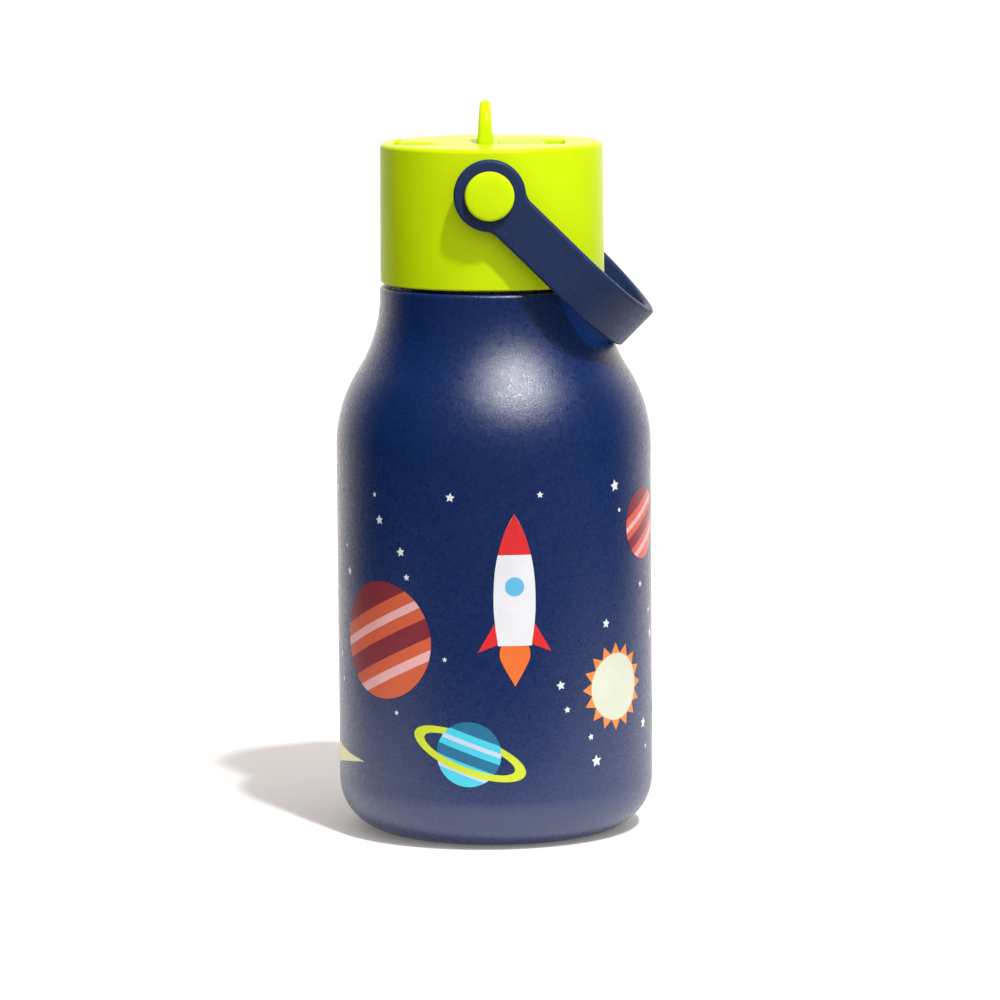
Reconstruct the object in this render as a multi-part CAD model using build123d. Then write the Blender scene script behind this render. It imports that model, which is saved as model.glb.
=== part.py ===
from build123d import *
from math import cos, radians, sin, sqrt
import os

# A child's insulated water bottle: a double-walled steel body, a screw lid with a flip-up
# straw spout in its top, and a carrying strap that swings on two studs at the lid's sides.
# Millimetres. +Z is up, the origin is the centre of the face it stands on, the front is -Y.

# ---- Body ----
BODY_R = 35.0
BASE_CORNER_R = 11.5
SHOULDER_START = 86.2
SHOULDER_BEND_R = 31.0
SHOULDER_ANGLE = 33.0
SHELL_NECK_R = 25.0
SHELL_TOP = 121.8
SHELL_WALL = 0.8

# ---- Base ----
RECESS_R = 20.0
LIP_HEIGHT = 3.0
COVER_UNDERSIDE = 0.8
PLATE_T = 0.6
SEAL_UNDERSIDE = 2.2
EVACUATION_HOLE_R = 1.0
BEAD_R = 2.4
GETTER_R = 4.0
GETTER_T = 1.2
GETTER_X = 9.0

# ---- Inner vessel and neck ----
VACUUM_GAP = 2.7
VESSEL_WALL = 0.8
VESSEL_UNDERSIDE = 6.5
VESSEL_CORNER_R = 9.7
VESSEL_ANGLE = 38.0
NECK_R = 19.8
NECK_TOP = 135.2

# ---- Screw thread, on the neck and in the liner ----
THREAD_PITCH = 4.0
THREAD_TURNS = 1.25
THREAD_HEIGHT = 1.1
THREAD_ROOT_W = 1.6
THREAD_CREST_W = 0.8
THREAD_ROOTING = 0.3
NECK_THREAD_START = 127.4
LINER_THREAD_DROP = 1.6
THREAD_GAP = 0.3

# ---- Lid ----
LID_R = 24.85
LID_BOTTOM = 122.6
LID_TOP = 153.5
LID_WALL = 2.2
LID_TOP_T = 2.0
LID_EDGE_R = 0.8
LID_UPPER_INNER_R = 21.0
LINER_BOTTOM = 123.4
LINER_PLATE_T = 1.8
GASKET_T = 2.0
GASKET_GAP = 0.2
VALVE_X = 10.0
VALVE_R = 4.0
VALVE_STEM_R = 1.2
VALVE_VENT_R = 0.6
VALVE_VENT_RING = 2.5

# ---- Straw ----
STRAW_X = -13.0
STRAW_R = 3.5
STRAW_BORE_R = 2.5
STRAW_FOOT = 11.0
SOCKET_R = 5.0
SOCKET_FOOT = 129.2
DUCT_R = 1.8

# ---- Flip spout and the bay that it lies in ----
HINGE_X = -16.5
HINGE_Z = 150.2
BARREL_R = 4.6
SPOUT_HALF_W = 6.5
ARM_UNDERSIDE = 146.6
ARM_END = 1.5
CHANNEL_R = 2.0
NIPPLE_END = 11.0
NIPPLE_WALL = 2.0
TIP_X = 12.5
FIN_X = -1.3
FIN_TOP = 162.8
FIN_ROOT_T = 3.3
FIN_CREST_T = 2.0
PIN_R = 1.25
PIN_INNER_Y = 3.7
PIN_OUTER_Y = 10.8
PIN_CLEARANCE = 0.05
PIN_END_GAP = 0.2
BAY_LEFT = -21.5
BAY_RIGHT = 16.1
BAY_HALF_W = 7.0
BAY_FLOOR = 145.2
BAY_WALL = 1.5
BAY_CORNER_R = 1.0
SEAT_LEFT = -20.3
SEAT_RIGHT = -11.4
SEAT_HALF_W = 5.0
SEAT_TOP = 146.2
SEAT_GAP = 0.1

# ---- Strap and its studs ----
PIVOT_Z = 143.7
STRAP_REST_ANGLE = 44.6
STRAP_REACH = 45.2
STRAP_W = 10.6
STRAP_T = 2.4
STRAP_INNER_Y = 26.3
STRAP_STRAIGHT = 25.0
STRAP_EDGE_R = 0.7
EYE_R = 7.9
EYE_NECK_R = 4.0
EYE_CLEARANCE = 0.1
STUD_POST_R = 3.0
STUD_HEAD_R = 5.4
STUD_HEAD_T = 1.5
STUD_HEAD_Y = 29.0
STUD_BARB_R = 3.7
STUD_BARB_L = 1.9
STUD_SLOT_W = 1.2
STUD_SLOT_L = 4.0
BOSS_R = 6.5
BOSS_OUTER_Y = 26.0
BOSS_INNER_Y = 19.5

# ---- Sizes worked out from the ones above ----
VESSEL_R = BODY_R - SHELL_WALL - VACUUM_GAP
VESSEL_BEND_R = SHOULDER_BEND_R - (BODY_R - VESSEL_R)
PLATE_UNDERSIDE = NECK_TOP + GASKET_T
PLATE_TOP = PLATE_UNDERSIDE + LINER_PLATE_T
LINER_R = LID_R - LID_WALL
LINER_INNER_R = NECK_R + THREAD_HEIGHT + THREAD_GAP
GASKET_R = LINER_INNER_R - GASKET_GAP
SEAL_TOP = SEAL_UNDERSIDE + PLATE_T


def turned(edges):
    """Solid of revolution about Z, from edges drawn as (radius, height)."""
    return revolve(Plane.XZ * make_face(edges), Axis.Z)


def disc(radius, bottom, top, x=0.0):
    """Upright cylinder between two heights."""
    standing = (Align.CENTER, Align.CENTER, Align.MIN)
    return Pos(x, 0, bottom) * Cylinder(radius, top - bottom, align=standing)


def ring(outer_r, inner_r, bottom, top, x=0.0):
    """Upright tube between two heights."""
    return disc(outer_r, bottom, top, x) - disc(inner_r, bottom, top, x)


def block(x_range, y_range, z_range):
    """Box between two corners."""
    (x0, x1), (y0, y1), (z0, z1) = x_range, y_range, z_range
    return Pos(x0, y0, z0) * Box(x1 - x0, y1 - y0, z1 - z0, align=Align.MIN)


def cross_pin(radius, y0, y1, x, z):
    """Cylinder along Y between two depths."""
    low, high = min(y0, y1), max(y0, y1)
    level = Pos(x, (low + high) / 2, z) * Rot(90, 0, 0)
    return level * Cylinder(radius, high - low)


def bottle_form(inset, radius, floor, corner_r, bend_r, angle, neck_r, top):
    """Solid bottle shape: rounded base corner, two shoulder bends and a neck, drawn in by inset."""
    tilt = radians(angle)
    upper_bend_r = (radius - neck_r) / (1 - cos(tilt)) - bend_r
    upper_z = SHOULDER_START + (bend_r + upper_bend_r) * sin(tilt)
    upper_centre = (neck_r + upper_bend_r, upper_z)
    corner_centre = (radius - corner_r, floor + corner_r)
    corner = CenterArc(corner_centre, corner_r - inset, -90, 90)
    lower = CenterArc((radius - bend_r, SHOULDER_START), bend_r - inset, 0, angle)
    upper = CenterArc(upper_centre, upper_bend_r + inset, 180 + angle, -angle)
    top_corner = (neck_r - inset, top)
    return turned([
        Line((0, floor + inset), corner @ 0),
        corner,
        Line(corner @ 1, lower @ 0),
        lower,
        upper,
        Line(upper @ 1, top_corner),
        Line(top_corner, (0, top)),
        Line((0, top), (0, floor + inset)),
    ])


def thread_ridge(root_r, crest_r, start_z):
    """Helical ridge with a trapezoid section, from root_r to crest_r, climbing from start_z."""
    way = 1 if crest_r > root_r else -1
    spread = (THREAD_ROOT_W - THREAD_CREST_W) / THREAD_HEIGHT / 2
    path = Helix(THREAD_PITCH, THREAD_PITCH * THREAD_TURNS, root_r, center=(0, 0, start_z))
    root = THREAD_ROOT_W / 2 + spread * THREAD_ROOTING
    crest = THREAD_CREST_W / 2
    sunk = -way * THREAD_ROOTING
    reach = crest_r - root_r
    outline = Polyline((sunk, -root), (reach, -crest), (reach, crest), (sunk, root), close=True)
    start = Plane(origin=path @ 0, x_dir=(1, 0, 0), z_dir=path % 0)
    return sweep(start * make_face(outline), path=path, is_frenet=True)


# ---- Bottle ----
def make_outer_shell():
    form = (BODY_R, 0, BASE_CORNER_R, SHOULDER_BEND_R, SHOULDER_ANGLE, SHELL_NECK_R)
    shell = bottle_form(0, *form, SHELL_TOP) - bottle_form(SHELL_WALL, *form, SHELL_TOP - SHELL_WALL)
    top_circles = shell.edges().filter_by(GeomType.CIRCLE).group_by(Axis.Z)[-1]
    shell = fillet(top_circles, SHELL_WALL * 0.9)
    shell -= disc(NECK_R, SHELL_TOP - 2 * SHELL_WALL, SHELL_TOP + 1)
    shell -= disc(RECESS_R, -1, LIP_HEIGHT)
    return shell + ring(RECESS_R + SHELL_WALL, RECESS_R, 0, LIP_HEIGHT)


def make_inner_vessel():
    form = (VESSEL_R, VESSEL_UNDERSIDE, VESSEL_CORNER_R, VESSEL_BEND_R, VESSEL_ANGLE, NECK_R)
    vessel = bottle_form(0, *form, NECK_TOP) - bottle_form(VESSEL_WALL, *form, NECK_TOP + 1)
    return vessel + thread_ridge(NECK_R, NECK_R + THREAD_HEIGHT, NECK_THREAD_START)


def make_sealing_bottom():
    plate = disc(RECESS_R, SEAL_UNDERSIDE, SEAL_TOP)
    return plate - disc(EVACUATION_HOLE_R, SEAL_UNDERSIDE, SEAL_TOP)


def make_vacuum_seal_bead():
    plug = disc(EVACUATION_HOLE_R, SEAL_UNDERSIDE, SEAL_TOP)
    return plug + disc(BEAD_R, SEAL_UNDERSIDE - PLATE_T, SEAL_UNDERSIDE)


def make_getter():
    return disc(GETTER_R, SEAL_TOP, SEAL_TOP + GETTER_T, GETTER_X)


def make_base_cover():
    plate = disc(RECESS_R, COVER_UNDERSIDE, COVER_UNDERSIDE + PLATE_T)
    rim = ring(RECESS_R, RECESS_R - 1, COVER_UNDERSIDE, SEAL_UNDERSIDE)
    return plate + rim


# ---- Lid ----
def flow_duct():
    """Slanted round duct from the top of the straw to the underside of the spout's barrel."""
    foot = Vector(STRAW_X, 0, PLATE_UNDERSIDE - 1)
    head = Vector(HINGE_X, 0, HINGE_Z - BARREL_R + 1)
    run = Plane(origin=foot, z_dir=head - foot)
    return run * extrude(Circle(DUCT_R), (head - foot).length)


def seat_block(bottom, top):
    seat = block((SEAT_LEFT, SEAT_RIGHT), (-SEAT_HALF_W, SEAT_HALF_W), (bottom, top))
    return fillet(seat.edges().filter_by(Axis.Z), 1.5)


def make_lid_shell():
    shell = disc(LID_R, LID_BOTTOM, LID_TOP)
    shell = fillet(shell.edges().group_by(Axis.Z)[-1], LID_EDGE_R)
    shell -= disc(LID_UPPER_INNER_R, PLATE_TOP, LID_TOP - LID_TOP_T)
    bay_x = (BAY_LEFT - BAY_WALL, BAY_RIGHT + BAY_WALL)
    bay_y = BAY_HALF_W + BAY_WALL
    shell += block(bay_x, (-bay_y, bay_y), (BAY_FLOOR - BAY_WALL, LID_TOP - LID_TOP_T))
    for side in (-1, 1):
        boss_y = sorted((side * BAY_HALF_W, side * PIN_OUTER_Y))
        shell += block((HINGE_X - 3, HINGE_X + 3), boss_y, (HINGE_Z - 4, LID_TOP - 1))
        shell += cross_pin(BOSS_R, side * BOSS_INNER_Y, side * BOSS_OUTER_Y, 0, PIVOT_Z)
        shell -= cross_pin(STUD_POST_R, side * BAY_HALF_W * 2, side * LID_R * 1.1, 0, PIVOT_Z)
    bay = block((BAY_LEFT, BAY_RIGHT), (-BAY_HALF_W, BAY_HALF_W), (BAY_FLOOR, LID_TOP + 1))
    shell -= fillet(bay.edges().filter_by(Axis.Z), BAY_CORNER_R)
    shell -= seat_block(BAY_FLOOR - 2 * BAY_WALL, BAY_FLOOR + 1)
    shell -= cross_pin(PIN_R, -PIN_OUTER_Y, PIN_OUTER_Y, HINGE_X, HINGE_Z)
    return shell - disc(LINER_R, LID_BOTTOM - 1, PLATE_TOP)


def make_lid_liner():
    liner = disc(LINER_R, LINER_BOTTOM, PLATE_TOP)
    liner -= disc(LINER_INNER_R, LINER_BOTTOM, PLATE_UNDERSIDE)
    liner += disc(SOCKET_R, SOCKET_FOOT, PLATE_UNDERSIDE, STRAW_X)
    liner -= disc(STRAW_R, SOCKET_FOOT, PLATE_UNDERSIDE, STRAW_X)
    liner -= flow_duct()
    liner -= disc(VALVE_STEM_R, PLATE_UNDERSIDE, PLATE_TOP, VALVE_X)
    for vent in PolarLocations(VALVE_VENT_RING, 3):
        liner -= Pos(VALVE_X, 0, PLATE_TOP) * vent * Cylinder(VALVE_VENT_R, 3 * LINER_PLATE_T)
    crest_r = LINER_INNER_R - THREAD_HEIGHT
    return liner + thread_ridge(LINER_INNER_R, crest_r, NECK_THREAD_START - LINER_THREAD_DROP)


def make_lid_gasket():
    return ring(GASKET_R, NECK_R - VESSEL_WALL, NECK_TOP, PLATE_UNDERSIDE)


def make_spout_seat():
    seat = seat_block(PLATE_TOP, SEAT_TOP)
    barrel_space = cross_pin(BARREL_R + SEAT_GAP, -BAY_HALF_W, BAY_HALF_W, HINGE_X, HINGE_Z)
    return seat - barrel_space - flow_duct()


def make_vent_valve():
    umbrella = disc(VALVE_R, PLATE_UNDERSIDE - 1, PLATE_UNDERSIDE, VALVE_X)
    stem = disc(VALVE_STEM_R, PLATE_UNDERSIDE, PLATE_TOP, VALVE_X)
    bulb = disc(VALVE_STEM_R + 0.5, PLATE_TOP, PLATE_TOP + 1.4, VALVE_X)
    bulb = fillet(bulb.edges().group_by(Axis.Z)[-1], 0.6)
    return umbrella + stem + bulb


def make_straw():
    return ring(STRAW_R, STRAW_BORE_R, STRAW_FOOT, PLATE_UNDERSIDE, STRAW_X)


def make_strap_button(side):
    """Snap stud: domed head outside the strap's eye, post through it, split barb inside the lid."""
    head_end = STUD_HEAD_Y + STUD_HEAD_T
    barb_end = BOSS_INNER_Y - STUD_BARB_L
    outline = Polyline(
        (0, barb_end), (STUD_POST_R - 0.3, barb_end), (STUD_BARB_R, BOSS_INNER_Y),
        (STUD_POST_R, BOSS_INNER_Y), (STUD_POST_R, STUD_HEAD_Y), (STUD_HEAD_R, STUD_HEAD_Y),
        (STUD_HEAD_R, head_end), (0, head_end), close=True)
    stud = revolve(Plane.XZ * make_face(outline), Axis.Z)
    stud = fillet(stud.edges().group_by(Axis.Z)[-1], 0.6)
    slot = block((-STUD_BARB_R, STUD_BARB_R), (-STUD_SLOT_W / 2, STUD_SLOT_W / 2),
                 (barb_end, barb_end + STUD_SLOT_L))
    return Pos(0, 0, PIVOT_Z) * Rot(-90 * side, 0, 0) * (stud - slot)


# ---- Flip spout ----
def make_spout_body():
    spout = cross_pin(BARREL_R, -SPOUT_HALF_W, SPOUT_HALF_W, HINGE_X, HINGE_Z)
    arm_y = (-SPOUT_HALF_W, SPOUT_HALF_W)
    spout += block((HINGE_X, ARM_END), arm_y, (ARM_UNDERSIDE, LID_TOP))
    nipple_y = SPOUT_HALF_W - NIPPLE_WALL
    spout += block((ARM_END, NIPPLE_END), (-nipple_y, nipple_y), nipple_heights())
    spout += finger_fin()
    channel_run = Pos(HINGE_X - BARREL_R - 1, 0, HINGE_Z) * Rot(0, 90, 0)
    spout -= channel_run * extrude(Circle(CHANNEL_R), NIPPLE_END - HINGE_X + BARREL_R + 2)
    for side in (-1, 1):
        inner, outer = side * (PIN_INNER_Y - PIN_END_GAP), side * SPOUT_HALF_W
        spout -= cross_pin(PIN_R + PIN_CLEARANCE, inner, outer, HINGE_X, HINGE_Z)
    return spout


def nipple_heights():
    wall = (LID_TOP - ARM_UNDERSIDE - 2 * CHANNEL_R) / 4
    return ARM_UNDERSIDE + wall, LID_TOP - wall


def finger_fin():
    """Upright tab across the arm, thinner at its round top."""
    foot = LID_TOP - 1
    side_view = Polyline(
        (FIN_X - FIN_ROOT_T / 2, foot), (FIN_X + FIN_ROOT_T / 2, foot),
        (FIN_X + FIN_CREST_T / 2, FIN_TOP), (FIN_X - FIN_CREST_T / 2, FIN_TOP), close=True)
    wedge = extrude(Plane.XZ * make_face(side_view), SPOUT_HALF_W, both=True)
    crown_z = FIN_TOP - SPOUT_HALF_W
    lower = block((FIN_X - 3, FIN_X + 3), (-SPOUT_HALF_W, SPOUT_HALF_W), (foot, crown_z))
    crown = Pos(FIN_X, 0, crown_z) * Rot(0, 90, 0) * Cylinder(SPOUT_HALF_W, 6)
    return wedge & (lower + crown)


def make_mouthpiece():
    sleeve = block((ARM_END, TIP_X), (-SPOUT_HALF_W, SPOUT_HALF_W), (ARM_UNDERSIDE, LID_TOP))
    sleeve = fillet(sleeve.edges().filter_by(Axis.Y).group_by(Axis.X)[-1], 2.5)
    nipple_y = SPOUT_HALF_W - NIPPLE_WALL
    sleeve -= block((ARM_END, NIPPLE_END), (-nipple_y, nipple_y), nipple_heights())
    outlet = Pos(NIPPLE_END, 0, HINGE_Z) * Rot(0, 90, 0) * Cylinder(CHANNEL_R, 2 * NIPPLE_WALL)
    return sleeve - outlet


def make_spout_hinge_pins():
    pins = [cross_pin(PIN_R, side * PIN_INNER_Y, side * PIN_OUTER_Y, HINGE_X, HINGE_Z)
            for side in (-1, 1)]
    return Compound(children=pins)


# ---- Strap ----
def make_strap():
    """U-shaped band with an eye at each end, hanging down towards +X from its pivot."""
    tilt = radians(STRAP_REST_ANGLE)
    along, across = (cos(tilt), 0, -sin(tilt)), (sin(tilt), 0, cos(tilt))
    band_plane = Plane(origin=(0, 0, PIVOT_Z), x_dir=along, z_dir=across)
    outer_y = STRAP_INNER_Y + STRAP_T
    bend_start = (STRAP_STRAIGHT, 0)
    outer_reach = STRAP_REACH - STRAP_STRAIGHT
    outer = EllipticalCenterArc(bend_start, outer_reach, outer_y, -90, arc_size=180)
    inner = EllipticalCenterArc(bend_start, outer_reach - STRAP_T, STRAP_INNER_Y, -90, arc_size=180)
    outline = [
        Line((0, -outer_y), outer @ 0), outer, Line(outer @ 1, (0, outer_y)),
        Line((0, outer_y), (0, STRAP_INNER_Y)), Line((0, STRAP_INNER_Y), inner @ 1), inner,
        Line(inner @ 0, (0, -STRAP_INNER_Y)), Line((0, -STRAP_INNER_Y), (0, -outer_y)),
    ]
    strap = extrude(make_face(outline), STRAP_W / 2, both=True)
    root = sqrt(EYE_R**2 - (STRAP_W / 2)**2)
    eye = Circle(EYE_R) + Pos(EYE_R, 0) * Rectangle(2 * EYE_R, STRAP_W)
    corners = [v for v in eye.vertices() if abs(v.X - root) < 0.01]
    eye = fillet(corners, EYE_NECK_R)
    for side in (-1, 1):
        face = Plane(origin=(0, side * STRAP_INNER_Y, 0), x_dir=(1, 0, 0), z_dir=(0, side, 0))
        strap += extrude(face * eye, STRAP_T)
    strap -= cross_pin(STUD_POST_R + EYE_CLEARANCE, -outer_y - 1, outer_y + 1, 0, 0)
    long_edges = [e for e in strap.edges() if e.length > STRAP_T * 4 and not e.is_closed]
    strap = fillet(long_edges, STRAP_EDGE_R)
    return band_plane * strap


def main():
    nodes = {
        "outer_shell": make_outer_shell(),
        "inner_vessel": make_inner_vessel(),
        "sealing_bottom": make_sealing_bottom(),
        "vacuum_seal_bead": make_vacuum_seal_bead(),
        "getter": make_getter(),
        "base_cover": make_base_cover(),
        "lid_shell": make_lid_shell(),
        "lid_liner": make_lid_liner(),
        "lid_gasket": make_lid_gasket(),
        "spout_seat": make_spout_seat(),
        "vent_valve": make_vent_valve(),
        "straw": make_straw(),
        "strap_button_front": make_strap_button(-1),
        "strap_button_rear": make_strap_button(1),
        "spout_body": make_spout_body(),
        "mouthpiece": make_mouthpiece(),
        "spout_hinge_pins": make_spout_hinge_pins(),
        "strap": make_strap(),
    }
    os.makedirs("parts", exist_ok=True)
    for node, shape in nodes.items():
        export_step(shape, f"parts/{node}.step")


main()
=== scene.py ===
from math import atan2, ceil, cos, degrees, floor, hypot, pi, radians, sin, sqrt, tan

import bmesh
import bpy
from mathutils import Matrix, Vector


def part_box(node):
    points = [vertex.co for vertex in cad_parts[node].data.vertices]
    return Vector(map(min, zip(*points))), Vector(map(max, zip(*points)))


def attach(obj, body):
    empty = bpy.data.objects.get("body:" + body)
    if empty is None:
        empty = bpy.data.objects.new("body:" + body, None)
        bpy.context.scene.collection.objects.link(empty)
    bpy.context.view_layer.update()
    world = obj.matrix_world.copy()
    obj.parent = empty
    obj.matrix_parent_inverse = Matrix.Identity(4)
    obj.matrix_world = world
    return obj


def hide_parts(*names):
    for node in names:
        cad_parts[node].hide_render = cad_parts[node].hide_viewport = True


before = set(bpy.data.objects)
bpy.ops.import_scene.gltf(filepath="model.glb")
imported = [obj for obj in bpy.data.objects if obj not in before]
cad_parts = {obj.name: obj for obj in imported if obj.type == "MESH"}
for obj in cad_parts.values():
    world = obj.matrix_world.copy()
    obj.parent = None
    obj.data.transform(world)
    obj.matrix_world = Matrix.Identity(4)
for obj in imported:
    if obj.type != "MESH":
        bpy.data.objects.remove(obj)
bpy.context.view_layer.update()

MM = 0.001


def node_box(node):
    """Lowest and highest corner of a CAD node, in millimetres."""
    low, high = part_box(node)
    return Vector(low) / MM, Vector(high) / MM


# =============================================================== sizes, in millimetres
BODY_R = node_box("outer_shell")[1].x
SHELL_TOP = node_box("outer_shell")[1].z
SHELL_WALL = 0.8
NECK_R = 25.0
NECK_HOLE_R = 19.8
BASE_CORNER_R = 11.5
SHOULDER_START = SHELL_TOP - 35.6
SHOULDER_BEND_R = 31.0
SHOULDER_ANGLE = 33.0
RECESS_R = node_box("base_cover")[1].x
RECESS_LIP = 3.0
NECK_EDGE_R = 0.8

LID_LOW, LID_HIGH = node_box("lid_shell")
LID_R = LID_HIGH.x
LID_BOTTOM, LID_TOP = LID_LOW.z, LID_HIGH.z
LID_DRAFT = 0.2
LID_EDGE_R = 1.0
LINER_R = node_box("lid_liner")[1].x
PLATE_TOP = node_box("lid_liner")[1].z
UPPER_INNER_R = 21.0
BAY_LEFT, BAY_RIGHT, BAY_HALF_W = -21.5, 16.1, 7.0
BAY_FLOOR = LID_TOP - 8.3
BAY_WALL = 1.5
BAY_CORNER_R = 1.0
BAY_RIM_R = 0.8
BAY_FOOT_R = 0.6
SKIRT_EDGE_R = 0.5
SKIRT_CHAMFER = 0.3

# Widths of the flat ring beside a rounded rim: bay and spout, then lid top and strap.
RIM_FLAT = 0.3
EDGE_FLAT = 0.4

PIVOT_Z = sum(node_box("strap_button_front")[i].z for i in (0, 1)) / 2
STUD_R = node_box("strap_button_front")[1].x
STUD_OUT_Y = -node_box("strap_button_front")[0].y
STUD_IN_Y = -node_box("strap_button_front")[1].y
STUD_HEAD_T = 1.5
BOSS_R = 6.5
BOSS_OUTER_Y = LID_HIGH.y
BOSS_INNER_Y = 19.5
BOSS_EDGE_R = 0.3

HINGE_X = sum(node_box("spout_hinge_pins")[i].x for i in (0, 1)) / 2
HINGE_Z = sum(node_box("spout_hinge_pins")[i].z for i in (0, 1)) / 2
BARREL_R = 4.6
SPOUT_HALF_W = node_box("mouthpiece")[1].y
ARM_UNDERSIDE = node_box("mouthpiece")[0].z
ARM_END = node_box("mouthpiece")[0].x
TIP_X = node_box("mouthpiece")[1].x
ARM_RISE = 0.45
ARM_RAMP = 3.0
ARM_EDGE_R = 0.45
FIN_X = -1.3
FIN_TOP = node_box("spout_body")[1].z
FIN_ROOT_T = 3.3
FIN_CREST_T = 2.3
FIN_ROOT_DEPTH = 1.5
FIN_FLARE_T = 0.3
FIN_FLARE_H = 1.6
DRINKING_HOLE_R = 2.0

STRAP_ANGLE = 44.6
STRAP_REACH = 45.2
STRAP_W = 10.6
STRAP_T = 2.4
STRAP_INNER_Y = 26.3
STRAP_STRAIGHT = 25.0
STRAP_RIM_R = 0.7
EYE_R = 7.9
EYE_HOLE_R = 3.1
EYE_NECK_R = 4.0


# =============================================================== outlines
def wrapped(angle):
    """The same direction in degrees, from -180 to 180."""
    return (angle + 180) % 360 - 180


def arc(centre, radius, start, sweep, steps=12):
    """Points on an arc, angles in degrees."""
    turns = [radians(start + sweep * i / steps) for i in range(steps + 1)]
    return [(centre[0] + radius * cos(t), centre[1] + radius * sin(t)) for t in turns]


def circle(radius, centre=(0, 0), steps=64):
    return arc(centre, radius, 0, 360, steps)[:-1]


def moved(points, by, turn=0):
    """Points turned about the origin by degrees, then shifted."""
    c, s = cos(radians(turn)), sin(radians(turn))
    return [(by[0] + c * x - s * y, by[1] + s * x + c * y) for x, y in points]


def mirrored(half):
    """Closed outline from its right half, listed from the top down."""
    return half + [(-x, y) for x, y in half[::-1] if x > 1e-6]


def rounded(corners, steps=6):
    """Closed outline from (x, y, corner radius), each corner replaced by its arc."""
    points = []
    for i, (x, y, radius) in enumerate(corners):
        here = Vector((x, y))
        if radius <= 0:
            points.append((x, y))
            continue
        before = (Vector(corners[i - 1][:2]) - here).normalized()
        after = (Vector(corners[(i + 1) % len(corners)][:2]) - here).normalized()
        half = before.angle(after) / 2
        centre = here + (before + after).normalized() * radius / sin(half)
        first = here + before * radius / tan(half) - centre
        last = here + after * radius / tan(half) - centre
        start = degrees(atan2(first.y, first.x))
        sweep = wrapped(degrees(atan2(last.y, last.x)) - start)
        points += arc(centre, radius, start, sweep, steps)
    return points


def rectangle(x0, x1, y0, y1, radius=0, steps=6):
    corners = [(x0, y0), (x1, y0), (x1, y1), (x0, y1)]
    return rounded([(x, y, radius) for x, y in corners], steps)


def inset(points, distance):
    """Closed counter-clockwise outline drawn in by a distance, for gentle outlines."""
    drawn = []
    for i, point in enumerate(points):
        here = Vector(point)
        along = (Vector(points[(i + 1) % len(points)]) - Vector(points[i - 1])).normalized()
        drawn.append(tuple(here + Vector((-along.y, along.x)) * distance))
    return drawn


def clipped(points, fence):
    """The part of an outline that is inside a convex counter-clockwise one."""
    for i, start in enumerate(fence):
        a, b = Vector(start), Vector(fence[(i + 1) % len(fence)])
        outward = Vector((b.y - a.y, a.x - b.x))
        kept = []
        for j, point in enumerate(points):
            p, q = Vector(points[j - 1]), Vector(point)
            p_out, q_out = (p - a).dot(outward), (q - a).dot(outward)
            if (p_out > 0) != (q_out > 0):
                kept.append(tuple(p.lerp(q, p_out / (p_out - q_out))))
            if q_out <= 0:
                kept.append(point)
        points = kept
    return points


def smooth(points, steps=6):
    """Curve through points, without its last point's copy."""
    ends = [points[0]] + points + [points[-1]]
    curve = []
    for p0, p1, p2, p3 in zip(ends, ends[1:], ends[2:], ends[3:]):
        for i in range(steps):
            t = i / steps
            curve.append(tuple(0.5 * (2 * b + (c - a) * t + (2 * a - 5 * b + 4 * c - d) * t ** 2
                                      + (3 * b - a - 3 * c + d) * t ** 3)
                               for a, b, c, d in zip(p0, p1, p2, p3)))
    return curve + [points[-1]]


# =============================================================== meshes
def piece(name, bm, body, materials, stands_for=(), sharp_angle=40):
    """Finished Blender piece from a bmesh in millimetres: shaded, and riding on its body."""
    bmesh.ops.recalc_face_normals(bm, faces=bm.faces)
    bmesh.ops.scale(bm, vec=(MM,) * 3, verts=bm.verts)
    mesh = bpy.data.meshes.new(name)
    bm.to_mesh(mesh)
    bm.free()
    for material in materials:
        mesh.materials.append(material)
    mesh.polygons.foreach_set("use_smooth", [True] * len(mesh.polygons))
    mesh.set_sharp_from_angle(angle=radians(sharp_angle))
    obj = bpy.data.objects.new(name, mesh)
    bpy.context.collection.objects.link(obj)
    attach(obj, body)
    if stands_for:
        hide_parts(*stands_for)
    return obj


def bridge(bm, first, second):
    """Quads between two closed rings of vertices."""
    for i in range(len(first)):
        j = (i + 1) % len(first)
        bm.faces.new((first[i], first[j], second[j], second[i]))


def loft(bm, rings, caps=(True, True)):
    """Skin over closed rings of (x, y, z) points, with flat caps where asked."""
    made = [[bm.verts.new(point) for point in ring] for ring in rings]
    for first, second in zip(made, made[1:]):
        bridge(bm, first, second)
    for capped, ring in zip(caps, (made[0], made[-1])):
        if capped:
            bm.faces.new(ring)
    return made


def lathe(outline, segments=192):
    """Bmesh of a closed (radius, height) outline turned about Z; it may touch the axis."""
    bm = bmesh.new()
    on_axis = {i: bm.verts.new((0, 0, z)) for i, (r, z) in enumerate(outline) if r < 1e-6}
    columns = []
    for k in range(segments):
        turn = 2 * pi * k / segments
        columns.append([on_axis.get(i) or bm.verts.new((r * cos(turn), r * sin(turn), z))
                        for i, (r, z) in enumerate(outline)])
    for k, column in enumerate(columns):
        following = columns[(k + 1) % segments]
        for i in range(len(outline)):
            j = (i + 1) % len(outline)
            corners = list(dict.fromkeys((column[i], following[i], following[j], column[j])))
            if len(corners) > 2:
                bm.faces.new(corners)
    return bm


def rim_levels(radius, flat, steps=5):
    """Rounded rim as (drawn in, drop) pairs, from the flat ring beside it to the full outline."""
    turns = [pi / 2 * i / steps for i in range(steps + 1)]
    return [(radius + flat, 0)] + [(radius * (1 - sin(t)), radius * (1 - cos(t))) for t in turns]


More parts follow.
